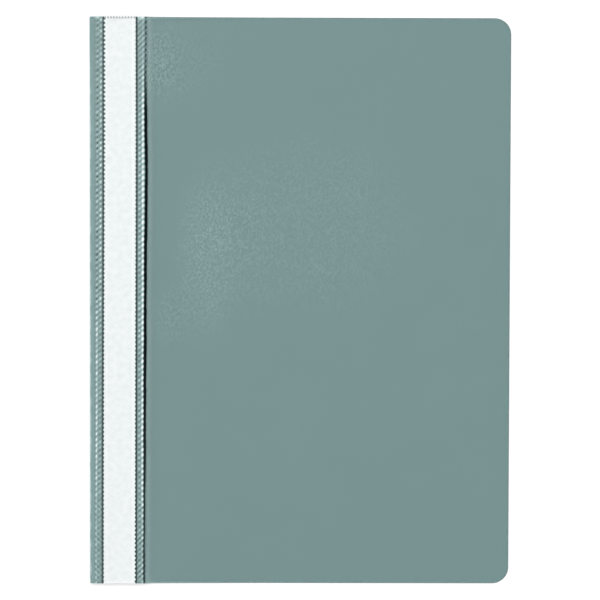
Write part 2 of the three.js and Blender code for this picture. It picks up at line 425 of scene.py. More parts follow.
def knurl_pattern(tree):
    """Height of the knurl on the sheet's own map, where 1 is a metre: in each weld a cosine
    across it times a cosine along it, and zero elsewhere."""
    weld = settings("weld")
    place = tree.nodes.new("ShaderNodeUVMap")
    place.uv_map = SHEET_MAP
    split = tree.nodes.new("ShaderNodeSeparateXYZ")
    tree.links.new(place.outputs["UV"], split.inputs["Vector"])
    x, y = split.outputs["X"], split.outputs["Y"]
    along = math_node(tree, "COSINE", math_node(tree, "MULTIPLY", y, 2 * math.pi / weld.pitch))
    left, right = weld.plain_width, STRIP_END - SPINE_X - weld.right_width
    total = None
    for start, width in ((left, weld.left_width), (right, weld.right_width)):
        turn = math_node(tree, "MULTIPLY", math_node(tree, "SUBTRACT", x, start + KNURL_INSET),
                         math.pi / weld.column_gap)
        within = math_node(tree, "MULTIPLY", math_node(tree, "GREATER_THAN", x, start),
                           math_node(tree, "LESS_THAN", x, start + width))
        part = math_node(tree, "MULTIPLY", math_node(tree, "COSINE", turn), within)
        total = part if total is None else math_node(tree, "ADD", total, part)
    return math_node(tree, "MULTIPLY", total, along)


def stripes(tree, pitch):
    """Slightly uneven stripes across X, from 0 to 1, one to each pitch. At scale 1 the wave
    texture repeats every 2 pi / 20."""
    place = tree.nodes.new("ShaderNodeTexCoord")
    wave = tree.nodes.new("ShaderNodeTexWave")
    wave.inputs["Scale"].default_value = 2 * math.pi / (20 * pitch)
    wave.inputs["Distortion"].default_value = 1.2
    wave.inputs["Detail Scale"].default_value = 0.6
    tree.links.new(place.outputs["Object"], wave.inputs["Vector"])
    return wave.outputs["Fac"]


def clear_film_material(name, specular):
    """Clear film. The attribute tone runs from painted black shadow in the crease, over painted shade
    in the welds' gaps and on the pocket's slopes and the film's haze, to the white of painted
    highlights on the knurl dots and of the pocket's borders; veil says how little shows through, dots
    is where the label's cut edge shows as a row of dots, and the last attribute adds a painted,
    speckled sheen where the film lies close over the one below."""
    material, tree, shader = new_material(name)
    # Painted light and shade in one ramp: black for the crease shadow, dark stops for the shade in
    # the welds, white for the highlights on the dots.
    colour = ramp(tree, attribute(tree, "tone"), [
        (0.0, (0.001, 0.004, 0.006)),
        (0.22, (0.085, 0.135, 0.133)),
        (0.45, (0.215, 0.325, 0.322)),
        (0.74, tuple(settings("film").haze)),
        (1.0, (0.95, 1.0, 1.0)),
    ])
    dots = math_node(tree, "MULTIPLY", attribute(tree, "dots"), stripes(tree, 1.6 * MM))
    mix = tree.nodes.new("ShaderNodeMixRGB")
    mix.inputs["Color2"].default_value = (0.13, 0.12, 0.17, 1.0)
    tree.links.new(dots, mix.inputs["Fac"])
    tree.links.new(colour, mix.inputs["Color1"])
    tree.links.new(mix.outputs["Color"], shader.inputs["Base Color"])
    # Painted sheen: fine speckles of extra haze over the patch that the attribute read below marks.
    speckle = noise(tree, scale=820.0, detail=2.0, stretch=(1.0, 0.8, 1.0))
    sparkle = spread(tree, speckle, 0.0, 0.26, from_low=0.42, from_high=0.68)
    fleck = math_node(tree, "MULTIPLY", sparkle, attribute(tree, "sheen"))
    veil = math_node(tree, "ADD", attribute(tree, "veil"), fleck)
    tree.links.new(veil, shader.inputs["Alpha"])
    shader.inputs["Specular IOR Level"].default_value = specular
    grain = noise(tree, scale=1800.0, detail=2.0)
    tree.links.new(spread(tree, grain, 0.22, 0.34), shader.inputs["Roughness"])
    bump(tree, shader, grain, distance=0.01 * MM, strength=0.4)
    return material


def label_material():
    """White card with fine fibres and a faint mottling, whiter along its rim."""
    material, tree, shader = new_material("label_paper")
    fibre = noise(tree, scale=1400.0, detail=4.0, stretch=(1.0, 0.35, 1.0))
    mottle = noise(tree, scale=330.0, detail=3.0)
    place = math_node(tree, "ADD", mottle, attribute(tree, "rim"))
    colour = ramp(tree, place, [
        (0.3, (0.80, 0.85, 0.845)), (0.7, (0.89, 0.925, 0.92)), (1.0, (0.94, 0.955, 0.955))])
    tree.links.new(colour, shader.inputs["Base Color"])
    shader.inputs["Roughness"].default_value = 0.85
    bump(tree, shader, fibre, distance=0.03 * MM, strength=0.5)
    return material


def steel_material():
    """Plated strip steel with a rolled grain along its length."""
    material, tree, shader = new_material("prong_steel")
    shader.inputs["Metallic"].default_value = 1.0
    grain = noise(tree, scale=1300.0, detail=3.0, stretch=(1.0, 0.06, 1.0))
    colour = ramp(tree, grain, [(0.3, (0.36, 0.37, 0.38)), (0.7, (0.48, 0.49, 0.50))])
    tree.links.new(colour, shader.inputs["Base Color"])
    tree.links.new(spread(tree, grain, 0.4, 0.56), shader.inputs["Roughness"])
    bump(tree, shader, grain, distance=0.01 * MM, strength=0.5)
    return material


def bar_material():
    """White moulded plastic with a satin skin."""
    material, tree, shader = new_material("bar_plastic")
    flow = noise(tree, scale=90.0, detail=3.0)
    colour = ramp(tree, flow, [(0.3, (0.60, 0.62, 0.62)), (0.7, (0.66, 0.68, 0.68))])
    tree.links.new(colour, shader.inputs["Base Color"])
    skin = noise(tree, scale=2200.0, detail=2.0)
    tree.links.new(spread(tree, skin, 0.34, 0.5), shader.inputs["Roughness"])
    bump(tree, shader, skin, distance=0.02 * MM, strength=0.4)
    return material


def dress(piece, material, slot, *nodes):
    """Gives a new piece its material and the nodes it stands for; the slot is not used."""
    piece.data.materials.append(material)
    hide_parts(*nodes)


def dress_faces(piece, material, from_x, to_x):
    """Gives the faces whose middle lies between two places across the folder a material of
    their own."""
    mesh = piece.data
    mesh.materials.append(material)
    middle = np.empty(3 * len(mesh.polygons), np.float32)
    mesh.polygons.foreach_get("center", middle)
    x = middle[0::3]
    chosen = ((x > from_x) & (x < to_x)).astype(np.int32)
    mesh.polygons.foreach_set("material_index", chosen)


# Pieces

def back_film():
    """Back cover with its spine fold: flat outer face at table height, a quarter circle up
    round the spine and the lower half of the spine wall."""
    film = settings("film")
    radius = film.fold_radius
    middle_z = STRIP_TOP / 2
    corner = corner_stations(film.corner_radius, 13)[::-1]
    flat = stations((corner[-1], SPINE_X + radius, 12 * MM))[1:-1]
    run = np.concatenate([corner, flat])
    arc_out, arc_in = fold_arc(radius, -90.0, -180.0, radius, COLOUR_FILM)
    wall = stations((radius, middle_z, 0.4 * MM))[1:]
    outer = np.concatenate([
        np.stack([run, np.zeros_like(run)], -1), arc_out,
        np.stack([np.full_like(wall, SPINE_X), wall], -1)])
    inner = np.concatenate([
        np.stack([run, np.full_like(run, COLOUR_FILM)], -1), arc_in,
        np.stack([np.full_like(wall, SPINE_X + COLOUR_FILM), wall], -1)])
    rows = np.linspace(-1.0, 1.0, FILM_ROWS)
    return shell("back_film", *sweep(outer, inner, rows, film.corner_radius))


def strip_film():
    """Front strip with its spine fold: the upper half of the spine wall, a quarter circle
    over and the flat strip."""
    film = settings("film")
    radius = film.fold_radius
    wall = stations((STRIP_TOP / 2, STRIP_TOP - radius, 0.4 * MM))[:-1]
    arc_out, arc_in = fold_arc(radius, 180.0, 90.0, STRIP_TOP - radius, COLOUR_FILM)
    fine_end = SPINE_X + 4 * MM
    run = stations((SPINE_X + radius, fine_end, 0.5 * MM), (fine_end, STRIP_END, 2.0 * MM))[1:]
    outer = np.concatenate([
        np.stack([np.full_like(wall, SPINE_X), wall], -1), arc_out,
        np.stack([run, np.full_like(run, STRIP_TOP)], -1)])
    inner = np.concatenate([
        np.stack([np.full_like(wall, SPINE_X + COLOUR_FILM), wall], -1), arc_in,
        np.stack([run, np.full_like(run, STRIP_TOP - COLOUR_FILM)], -1)])
    rows = np.linspace(-1.0, 1.0, FILM_ROWS)
    outer, inner = sweep(outer, inner, rows, film.corner_radius)
    strip = shell("strip_film", outer, inner)
    # Painted highlight over the spine fold and the bare edge beside it.
    point_values(strip, "pale", fold_highlight_share(outer[..., 0], outer[..., 1]))
    map_sheet(strip)
    cut_slits(strip)
    return strip


def fold_highlight_share(x, y):
    """Painted highlight beside the spine: an even share as far as the first weld and a bell over the
    fold itself, both weaker towards the top of the folder."""
    fold_width, top_end = 0.55 * MM, 40 * MM
    from_spine, from_top = x - SPINE_X, HALF_LENGTH - y
    flat = 0.55 - 0.20 * (1 - smooth_step(from_top, 10 * MM, top_end))
    edge = 0.60 * np.exp(-(from_spine / fold_width) ** 2) * smooth_step(from_top, 5 * MM, top_end)
    return edge + flat * (1 - smooth_step(from_spine, 2.4 * MM, 3.4 * MM))


def map_sheet(piece):
    """Maps a sheet by its points' places across from the spine and along it, in metres."""
    mesh = piece.data
    layer = mesh.uv_layers.new(name=SHEET_MAP)
    places = np.empty(3 * len(mesh.vertices), np.float32)
    mesh.vertices.foreach_get("co", places)
    places = places.reshape(-1, 3)[:, :2] - (SPINE_X, 0.0)
    corners = np.empty(len(mesh.loops), np.int32)
    mesh.loops.foreach_get("vertex_index", corners)
    layer.data.foreach_set("uv", places[corners].astype(np.float32).ravel())


def cut_slits(strip):
    """Cuts a slit through the strip for each prong's leg."""
    fastener = settings("fastener")
    size = (2 * (PRONG_HALF + fastener.slit_clearance), fastener.sheet + 2 * fastener.slit_clearance)
    cutters = []
    for way in (-1, 1):
        place = (PRONG_X, way * fastener.prong_spacing / 2, STRIP_TOP - COLOUR_FILM / 2)
        bpy.ops.mesh.primitive_cube_add(size=1.0, location=place)
        cutter = bpy.context.object
        cutter.scale = (*size, 3 * COLOUR_FILM)
        cut = strip.modifiers.new("slit", "BOOLEAN")
        cut.operation, cut.solver, cut.object = "DIFFERENCE", "EXACT", cutter
        cutters.append(cutter)
    bpy.context.view_layer.update()
    whole = strip.data
    graph = bpy.context.evaluated_depsgraph_get()
    strip.data = bpy.data.meshes.new_from_object(strip.evaluated_get(graph))
    strip.modifiers.clear()
    strip.data.name = strip.name
    bpy.data.meshes.remove(whole)
    for cutter in cutters:
        bpy.data.objects.remove(cutter)


def knurl_field(x, y, first_column, along=0.0):
    """Diamond knurl from -1 to 1: the mean of two sets of diagonal waves, whose sum is a
    cosine along the weld times a cosine across it. Along favours one diagonal, as a rope."""
    weld = settings("weld")
    lengthwise = 2 * math.pi * y / weld.pitch
    across = math.pi * (x - first_column) / weld.column_gap
    rising, falling = np.cos(lengthwise + across), np.cos(lengthwise - across)
    return ((1 + along) * rising + (1 - along) * falling) / 2


def smooth_step(value, low, high):
    """Smooth step from 0 at low to 1 at high."""
    t = np.clip((value - low) / (high - low), 0.0, 1.0)
    return t * t * (3 - 2 * t)


def band(value, low, high, low_soft, high_soft):
    """One between low and high, falling to zero over a softness to either side of each."""
    return (smooth_step(value, low - low_soft, low + low_soft)
            * smooth_step(-value, -high - high_soft, high_soft - high))


def wander(y, seed, wave=41.0 * MM):
    """Slow wandering between -1 and 1 along the folder: three sines of unlike wavelengths."""
    a = np.sin(2 * math.pi * y / wave + seed)
    b = np.sin(2 * math.pi * y / (wave * 0.37) + 2.3 * seed)
    c = np.sin(2 * math.pi * y / (wave * 0.171) + 4.1 * seed)
    return (a + 0.6 * b + 0.4 * c) / 2.0


def dot_chance(y, phase, seed):
    """A number from 0 to 1 for each knurl dot, the same all over the dot: the fraction left of
    a large sine of the dot's count along the weld."""
    count = np.floor(y / settings("weld").pitch + phase)
    count_turn, seed_turn, size = 12.9898, 78.233, 43758.5453
    large = np.sin(count * count_turn + seed * seed_turn) * size
    return large - np.floor(large)


def beads(x, y, centre, width, twist):
    """Row of pressed dots along a column: a bell across it times a raised cosine along it,
    with each dot's ends swayed to either side by the twist."""
    turn = 2 * math.pi * y / settings("weld").pitch
    across = np.exp(-((x - centre - twist * np.sin(turn)) / width) ** 2)
    return across * (0.5 + 0.5 * np.cos(turn)) ** 0.8


def weld_tone(x, y, columns, level, twist, seed):
    """Tone of one weld: an even film, plus painted highlights on the dots of each column, less
    painted shade in the gaps between them, plus a painted highlight along the ridge they stand on.
    Each dot and each gap differs a little from the next."""
    pitch = settings("weld").pitch
    tone = 0.43 + 0.03 * wander(y, seed + 5, 9 * MM)
    for number, column in enumerate(columns):
        along = y + column.phase * pitch + 0.22 * MM * wander(y, seed + number, 23 * MM)
        chance = dot_chance(along, 0.5, seed + number)
        dots = beads(x, along, column.centre, column.width, twist)
        tone = tone + column.bright * level * (0.55 + 0.7 * chance) * dots
        chance = dot_chance(along, 0.0, seed + number + 7)
        gaps = beads(x, along + pitch / 2, column.centre, 0.8 * column.width, 0.0)
        tone = tone - column.dark * level * (0.4 + 1.1 * chance) * gaps
        sway = column.centre + 0.5 * twist * np.sin(2 * math.pi * along / pitch)
        ridge = np.exp(-((x - sway) / (0.8 * column.width)) ** 2)
        tone = tone + column.ridge * level * ridge
    return tone


def streaks(x, y, centre, slant):
    """Slanting streaks of painted highlight and shade, from -1 to 1, one to each knurl pitch: a
    cosine of the place along the weld plus a turn across it, its strength wandering from one streak
    to the next."""
    weld = settings("weld")
    turn = 2 * math.pi * y / weld.pitch + slant * math.pi * (x - centre) / weld.column_gap
    uneven = 0.7 + 0.6 * wander(y, 5.7, 17 * MM) + 0.4 * wander(x * 3 + y, 2.2, 7 * MM)
    return uneven * np.cos(turn)


def strip_lean(y):
    """How far the welds' edges and the crease stray from straight: a slow lean towards the
    spine at the foot of the folder."""
    return 0.10 * MM - 0.42 * MM * (0.5 - 0.5 * np.tanh((y + 10 * MM) / (90 * MM)) - 0.25)


def left_lean(y):
    """How far the spine-side weld's columns stray: more than its edge, most at the foot."""
    up, down = np.clip(y / HALF_LENGTH, 0, 1), np.clip(-y / HALF_LENGTH, 0, 1)
    return (0.50 * up - 0.55 * down ** 1.2) * MM


def weld_edges():
    """Places across the folder where the spine-side weld starts and ends, then the same two
    of the crease-side weld."""
    weld = settings("weld")
    left_start = SPINE_X + weld.plain_width
    right_start = STRIP_END - weld.right_width
    return left_start, left_start + weld.left_width, right_start, STRIP_END


def window_lines():
    """Grid lines of the welded window, across and along: close together over the welds and
    the pocket's slopes, wide apart over the label, and a pair at each hard step of the finish."""
    weld = settings("weld")
    left_start, left_end, right_start, right_end = weld_edges()
    toothed = weld.tooth_root + weld.tooth_reach + weld.ramp
    knurl_step, tooth_step, slope_step, label_step = 0.27 * MM, 0.13 * MM, 0.6 * MM, 5.5 * MM
    left_teeth, right_teeth = left_end - 0.4 * MM, right_start + 0.5 * MM
    left_label, right_label = left_end + 3 * MM, right_start - 3 * MM
    crease_side = right_end - 0.6 * MM
    across = stations(
        (left_start, left_teeth, knurl_step), (left_teeth, left_end + toothed, tooth_step),
        (left_end + toothed, left_label, slope_step), (left_label, right_label, label_step),
        (right_label, right_start - toothed, slope_step),
        (right_start - toothed, right_teeth, tooth_step),
        (right_teeth, crease_side, knurl_step), (crease_side, right_end, 0.15 * MM))
    pair = np.array([-HAIR, HAIR])
    borders = np.concatenate([left_end + INNER_BORDER + pair, right_start - INNER_BORDER + pair])
    dots = int(round(2 * HALF_LENGTH / weld.pitch))
    along = np.linspace(-HALF_LENGTH, HALF_LENGTH, dots * weld.steps_per_dot + 1)
    return np.union1d(across, borders), np.union1d(along, HALF_LENGTH - END_BORDER + pair)


def pocket_share(x, turn):
    """How far the pocket has risen, from 0 to 1: a smooth ramp inwards from each weld, its
    foot in and out by half a tooth's reach times a cosine of the teeth's turn."""
    weld = settings("weld")
    _, left_end, right_start, _ = weld_edges()
    tooth = weld.tooth_root + weld.tooth_reach * (0.5 - 0.5 * np.cos(turn))
    inwards = np.minimum(x - left_end - tooth, right_start - tooth - x)
    return smooth_step(inwards, 0.0, weld.ramp)


def knurl_share(x, y):
    """Height of the knurl from 0 to 1: the upper half of the knurl field, faded out at the
    sides of the welds and at the folder's ends."""
    left_start, left_end, right_start, right_end = weld_edges()
    soft, end_run = 0.5 * MM, 1.0 * MM
    rope = smooth_step(-y, 60 * MM, 140 * MM) * 0.7 + 0.35 * wander(y, 0.7)
    first = np.where(spine_half(x), left_start + LEFT_FIRST, right_end - 3.0 * MM)
    in_left = smooth_step(x - left_start, 0.0, soft) * smooth_step(left_end - x, 0.0, soft)
    in_right = smooth_step(x - right_start, 0.0, soft) * smooth_step(right_end - x, 0.0, 0.2 * MM)
    fade = smooth_step(HALF_LENGTH - np.abs(y), 0.0, end_run)
    return np.clip(knurl_field(x, y, first, rope), 0, 1) * np.maximum(in_left, in_right) * fade


def spine_half(x):
    """Whether a place is nearer to the spine-side weld than to the other one."""
    _, left_end, right_start, _ = weld_edges()
    return x < (left_end + right_start) / 2


def end_shares(y):
    """How far the welds have changed towards the top and towards the foot, each from 0 to 1."""
    return smooth_step(y, 90 * MM, 150 * MM), smooth_step(-y, 70 * MM, 140 * MM)


def both_weld_tones(x, y):
    """Tone of the two welds, painted highlights and shade. The highlights on the dots weaken and turn
    into slanting streaks towards both ends of the folder, and the welds are paler where they are cut
    at the top."""
    left_start, _, right_start, right_end = weld_edges()
    top, foot = end_shares(y)
    lower = smooth_step(-y, -8 * MM, 20 * MM)
    left_columns = (
        Column(centre=left_start + LEFT_FIRST, width=0.50 * MM, bright=0.42 - 0.02 * lower,
               dark=0.30 - 0.14 * lower, phase=0.0, ridge=0.26 * lower),
        Column(centre=left_start + LEFT_SECOND, width=0.60 * MM, bright=0.52 - 0.20 * lower,
               dark=0.14, phase=0.5, ridge=0.0))
    right_columns = (
        Column(centre=right_end - RIGHT_FIRST, width=0.62 * MM, bright=0.36,
               dark=0.14, phase=0.0, ridge=0.0),
        Column(centre=right_end - RIGHT_SECOND, width=0.68 * MM, bright=0.55,
               dark=0.05, phase=0.5, ridge=0.28))
    left = weld_tone(
        x - left_lean(y), y, left_columns, level=1 - 0.30 * top - 0.50 * foot,
        twist=0.12 * MM, seed=0.7)
    right = weld_tone(
        x - strip_lean(y), y + RIGHT_SHIFT, right_columns, level=1 - 0.62 * foot - 0.80 * top,
        twist=(0.16 - 0.45 * foot) * MM, seed=3.1)
    left = left + (0.05 + 0.07 * foot) * streaks(x, y, left_start, 1.3)
    right = right + (0.03 + 0.12 * top + 0.17 * foot) * streaks(x, y, right_start, -1.3)
    cut_end = 1 - smooth_step(HALF_LENGTH - y, 0.5 * MM, 2.2 * MM)
    return np.where(spine_half(x), left, right) + np.where(spine_half(x), 0.12, 0.34) * cut_end


def pocket_edges(y, turn):
    """Middle line and toothed inner edge of the spine-side slope, then of the other slope.
    The edge is the middle line less or plus a cosine of the teeth's turn, whose size changes
    along the folder."""
    _, left_end, right_start, _ = weld_edges()
    top, foot = end_shares(y)
    lean = strip_lean(y)
    wave = 0.36 * MM * np.cos(turn)
    left_wave = wave * (0.6 + 0.4 * smooth_step(y, 50 * MM, 110 * MM) - 0.3 * foot)
    right_wave = wave * (0.5 - 0.30 * top + 0.4 * smooth_step(-y, 100 * MM, 140 * MM))
    left_middle = left_end + 0.83 * MM + 1.6 * lean
    right_middle = right_start - (0.56 + 0.10 * top) * MM + lean
    return left_middle, left_middle - left_wave, right_middle, right_middle + right_wave


def slope_darkness(x, y, turn):
    """Painted shade on the pocket's two slopes: a band beside each weld, sharp at its toothed edge
    and soft at the other, and a little darker between the teeth."""
    left_middle, left_edge, right_middle, right_edge = pocket_edges(y, turn)
    left = band(x, left_middle - 1.16 * MM, left_edge, 0.3 * MM, 0.06 * MM)
    right = band(x, right_edge, right_middle + 0.95 * MM, 0.06 * MM, 0.25 * MM)
    pulse = 0.5 - 0.5 * np.cos(turn)
    return np.maximum(left * (0.72 + 0.16 * pulse), right * (0.86 + 0.14 * pulse))


def window_finish(x, y, turn):
    """Tone, veil and dots of the window: welds with their painted highlights and shade, painted shade
    on the slopes and in the crease, a white painted highlight along the pocket's inner borders, white
    at its cut end, and almost clear over the label."""
    _, left_end, right_start, _ = weld_edges()
    _, left_edge, _, right_edge = pocket_edges(y, turn)
    dark = slope_darkness(x, y, turn)
    # Painted shade on the slopes darkens the welds' tone.
    tone = both_weld_tones(x, y) * (1 - dark) + 0.05 * dark
    # Painted crease shadow, carried over the end of the crease-side weld.
    tone = tone * (1 - crease_shade(x, y))
    over_label = band(x, left_edge, right_edge, 0.08 * MM, 0.08 * MM)
    tone = tone * (1 - over_label) + over_label
    cut = over_label * (1 - smooth_step(HALF_LENGTH - y, END_BORDER - HAIR, END_BORDER + HAIR))
    from_side = np.minimum(x - left_end, right_start - x)
    # Painted highlight: white, almost opaque film along the pocket's inner borders.
    border = 1 - smooth_step(from_side, INNER_BORDER - HAIR, INNER_BORDER + HAIR)
    veil = 0.95 - 0.93 * (1 - np.maximum(border, cut)) * over_label
    return tone, veil, 0.8 * cut * band(x, left_edge, right_edge, 1 * MM, 1 * MM)


def welded_window():
    """Clear film over the strip: two knurled welds and the raised channel of the label pocket.
    Height is the film's thickness over the strip, plus the knurl within the welds, plus the
    pocket's rise between two smooth ramps with toothed edges."""
    weld = settings("weld")
    thickness = settings("film").clear_thickness
    x, y = np.meshgrid(*window_lines())
    turn = math.pi * weld.teeth * (y / HALF_LENGTH + 1)
    under = STRIP_TOP + pocket_share(x, turn) * (WINDOW_TOP - STRIP_TOP - thickness)
    over = under + thickness + weld.peak * knurl_share(x, y)
    window = shell("welded_window", np.stack([x, y, over], -1), np.stack([x, y, under], -1))
    tone, veil, dots = window_finish(x, y, turn)
    point_values(window, "dots", dots)
    point_values(window, "tone", tone)
    point_values(window, "veil", veil)
    return window


def cover_drop(distance, full):
    """Drop of the cover below the crease: a light beam held at one end, steep at the crease
    and flat where it lands."""
    left = np.clip(1.0 - distance / settings("film").settle_run, 0.0, 1.0)
    return full * (1 - 2 * left ** 3 + left ** 4)


def cover_film():
    """Front cover: clear film from the crease-side weld over the crease, down the beam curve
    and flat to the fore edge. Its height wanders slightly where it hangs free."""
    film = settings("film")
    thickness = film.clear_thickness
    corner = corner_stations(film.corner_radius, 15)
    crease_end, bend_end = STRIP_END + 1.8 * MM, STRIP_END + 6 * MM
    settled = COVER_START + film.settle_run
    run = stations(
        (STRIP_END, crease_end, 0.15 * MM), (crease_end, bend_end, 0.7 * MM),
        (bend_end, settled, 2.6 * MM), (settled, corner[0], 9.0 * MM))
    x_line = np.concatenate([run[:-1], corner])
    rows = np.linspace(-1.0, 1.0, COVER_ROWS)
    reach = half_width(x_line, film.corner_radius)
    x = np.broadcast_to(x_line, (len(rows), len(x_line)))
    y = rows[:, None] * reach[None, :]
    full = STRIP_TOP - COVER_LOW.z
    distance = np.clip(x - COVER_START, 0.0, None)
    under = STRIP_TOP - cover_drop(distance, full)
    free = np.sin(math.pi * np.clip(distance / film.settle_run, 0.0, 1.0)) ** 2
    wave_height, wave_length = 0.10 * MM, 150 * MM
    wave = wave_height * free * wander(y, 1.9, wave_length)
    under = under + wave * (under - COVER_LOW.z) / full
    cover = shell("cover_film", np.stack([x, y, under + thickness], -1), np.stack([x, y, under], -1))
    tone, veil = cover_finish(x, y)
    point_values(cover, "tone", tone)
    point_values(cover, "veil", veil)
    # Painted speckled sheen over the cover.
    point_values(cover, "sheen", sheen_patch(x, y))
    return cover


def cover_finish(x, y):
    """Tone and veil of the cover: painted black shadow in the crease, a painted lighter fringe beside
    it, clear beyond with a faint painted sheen, and darker and denser along the free edges."""
    film = settings("film")
    fringe, fade, rim_width = 2.8 * MM, 9.0 * MM, 0.8 * MM
    fold = crease_shade(x, y)
    past = x - STRIP_END - crease_centre(y)
    # Painted highlight beside the crease: a milky lift of the film over the shade under it, with a
    # faint tail further out.
    fringe_highlight = 0.29 * np.exp(-(past / fringe) ** 2) * smooth_step(past, 0.3 * MM, 2.0 * MM)
    fringe_highlight = fringe_highlight + 0.045 * np.exp(-past / fade)
    rim = 1 - smooth_step(from_edge(x, y, film.corner_radius), 0.2 * MM, rim_width)
    veil = film.haze_share + fringe_highlight * (1 - fold) + 0.60 * rim + 0.045 * sheen_core(x, y)
    return (0.74 - 0.35 * rim) * (1 - fold), np.clip(veil + 0.94 * fold, 0.0, 1.0)


def from_edge(x, y, radius):
    """Distance in from the cover's free edges: the nearer of the fore edge and the ends, or
    along the radius of a fore corner."""
    past_x = x - (FORE_X - radius)
    past_y = np.abs(y) - (HALF_LENGTH - radius)
    straight = radius - np.maximum(past_x, past_y)
    round_corner = radius - np.hypot(past_x, past_y)
    return np.where((past_x > 0) & (past_y > 0), round_corner, straight)


def crease_centre(y):
    """Place of the painted shadow line at the crease, from the end of the strip: it bulges outwards
    in the upper half, leans back towards the foot and wanders a little."""
    bulge = np.exp(-((y - 62 * MM) / (38 * MM)) ** 2)
    lower = 0.5 - 0.5 * np.tanh((y - 5 * MM) / (40 * MM))
    foot = smooth_step(-y, 60 * MM, 120 * MM)
    line = (0.40 + 0.36 * bulge - 0.44 * lower - 0.36 * foot) * MM
    return line + 0.16 * MM * wander(y, 2.6, 88 * MM)


def crease_shade(x, y):
    """Painted shadow in the crease: a dark band beside the weld, widest and blackest in the upper
    half where the strip stands highest, thin and broken into dots at both ends."""
    turn = 2 * math.pi * (y + RIGHT_SHIFT) / settings("weld").pitch
    from_top, from_foot = HALF_LENGTH - y, HALF_LENGTH + y
    ends = smooth_step(from_top, 10 * MM, 60 * MM) * smooth_step(from_foot, 10 * MM, 110 * MM)
    half = (0.50 + 0.34 * ends + 0.07 * wander(y, 4.4, 60 * MM)) * MM
    left_edge = crease_centre(y) - half - 0.13 * MM * np.cos(turn)
    right_edge = crease_centre(y) + half + 0.05 * MM * wander(y, 1.1, 7 * MM)
    soft = 0.16 * MM
    past = x - STRIP_END
    line = band(past, left_edge, right_edge, soft, soft)
    broken = 1 - smooth_step(from_top, 18 * MM, 50 * MM)
    dots = 0.5 - 0.5 * np.cos(turn)
    depth = 0.90 + 0.10 * ends - 0.62 * broken * (1 - dots)
    return np.clip(line * depth, 0.0, 1.0)


def oval(x, y, middle, reach, power=1.0):
    """Bell over an oval patch, whose middle and reach are in millimetres: one in the middle,
    falling off at its reach both ways, the more sharply the higher the power."""
    across = (x - middle[0] * MM) / (reach[0] * MM)
    along = (y - middle[1] * MM) / (reach[1] * MM)
    return np.exp(-(across ** 2 + along ** 2) ** power)


def sheen_core(x, y):
    """Core of the painted sheen: an oval beside the crease in the upper half, where the two films are
    closest.
    """
    return oval(x, y, (-51, 25), (15, 42), 1.5)


def sheen_patch(x, y):
    """Painted sheen, where the two films almost touch and catch the light: the core, fainter ovals
    beyond and below it, a wide faint one in the middle, and small ones by the top and the foot."""
    ragged = 1 + 0.35 * wander(x + 0.6 * y, 0.4, 37 * MM) * wander(y - 0.5 * x, 1.7, 29 * MM)
    near = 0.62 * sheen_core(x, y) + 0.21 * oval(x, y, (-30, 32), (14, 42), 1.2)
    near = near + 0.42 * oval(x, y, (-72, -9), (9, 14), 1.2)
    wide = 0.42 * oval(x, y, (8, 44), (52, 50), 1.8)
    top = 0.66 * oval(x, y, (-77, 129), (8, 19)) + 0.26 * oval(x, y, (-60, 130), (20, 22), 1.3)
    foot = 0.14 * oval(x, y, (-2, -66), (16, 24)) + 0.09 * oval(x, y, (84, -30), (18, 60))
    return np.clip((near + wide + top + foot) * ragged, 0.0, 1.0)


def label_sheet():
    """Label card: flat over the prong strip's base, and sagging slightly along its middle
    beyond it, by a squared cosine across the card."""
    x_line = np.linspace(LABEL_LOW.x, LABEL_HIGH.x, 37)
    y_line = np.linspace(LABEL_LOW.y, LABEL_HIGH.y, 156)
    x, y = np.meshgrid(x_line, y_line)
    thickness = LABEL_HIGH.z - LABEL_LOW.z
    middle = (LABEL_LOW.x + LABEL_HIGH.x) / 2
    width = LABEL_HIGH.x - LABEL_LOW.x
    deepest = 0.18 * MM
    over_prongs = smooth_step(PRONG_HIGH.y - np.abs(y), -40 * MM, 10 * MM)
    crown = np.cos(math.pi * (x - middle) / width) ** 2
    sag = deepest * (1 - over_prongs) * crown
    outer = np.stack([x, y, LABEL_HIGH.z - sag], -1)
    inner = np.stack([x, y, LABEL_HIGH.z - thickness - sag], -1)
    label = shell("label_sheet", outer, inner)
    from_side = np.minimum(x - LABEL_LOW.x, LABEL_HIGH.x - x)
    from_end = HALF_LENGTH - np.abs(y)
    point_values(label, "rim", 0.45 - 0.45 * smooth_step(from_side, 0.4 * MM, 1.9 * MM)
                 * smooth_step(from_end, 0.6 * MM, 2.4 * MM))
    return label


def prong_path():
    """Middle line of the prong strip from one tip to the other, as (y, z): out along a prong,
    a bend up, the leg through bar and strip, a bend in and the base, then the same mirrored."""
    fastener = settings("fastener")
    half = fastener.sheet / 2
    flat, base = PRONG_LOW.z + half, PRONG_HIGH.z - half
    leg = fastener.prong_spacing / 2
    low, high = fastener.lower_bend + half, fastener.upper_bend + half
    tip_points = 12
    tip = PRONG_HIGH.y - PRONG_HALF + PRONG_HALF * np.sin(np.linspace(math.pi / 2, 0, tip_points))
    run = np.concatenate([tip, stations((tip[-1], leg + low, 1.2 * MM))[1:-1]])
    turn = np.linspace(-math.pi / 2, -math.pi, BEND_POINTS)
    bend = np.stack([leg + low + low * np.cos(turn), flat + low + low * np.sin(turn)], -1)
    back = np.linspace(0, math.pi / 2, BEND_POINTS)
    shoulder = np.stack([leg - high + high * np.cos(back), base - high + high * np.sin(back)], -1)
    inside = stations((leg - high, 0.0, 2.0 * MM))[1:]
    side = np.concatenate([
        np.stack([run, np.full_like(run, flat)], -1), bend, shoulder,
        np.stack([inside, np.full_like(inside, base)], -1)])
    return np.concatenate([side, side[-2::-1] * (-1, 1)])


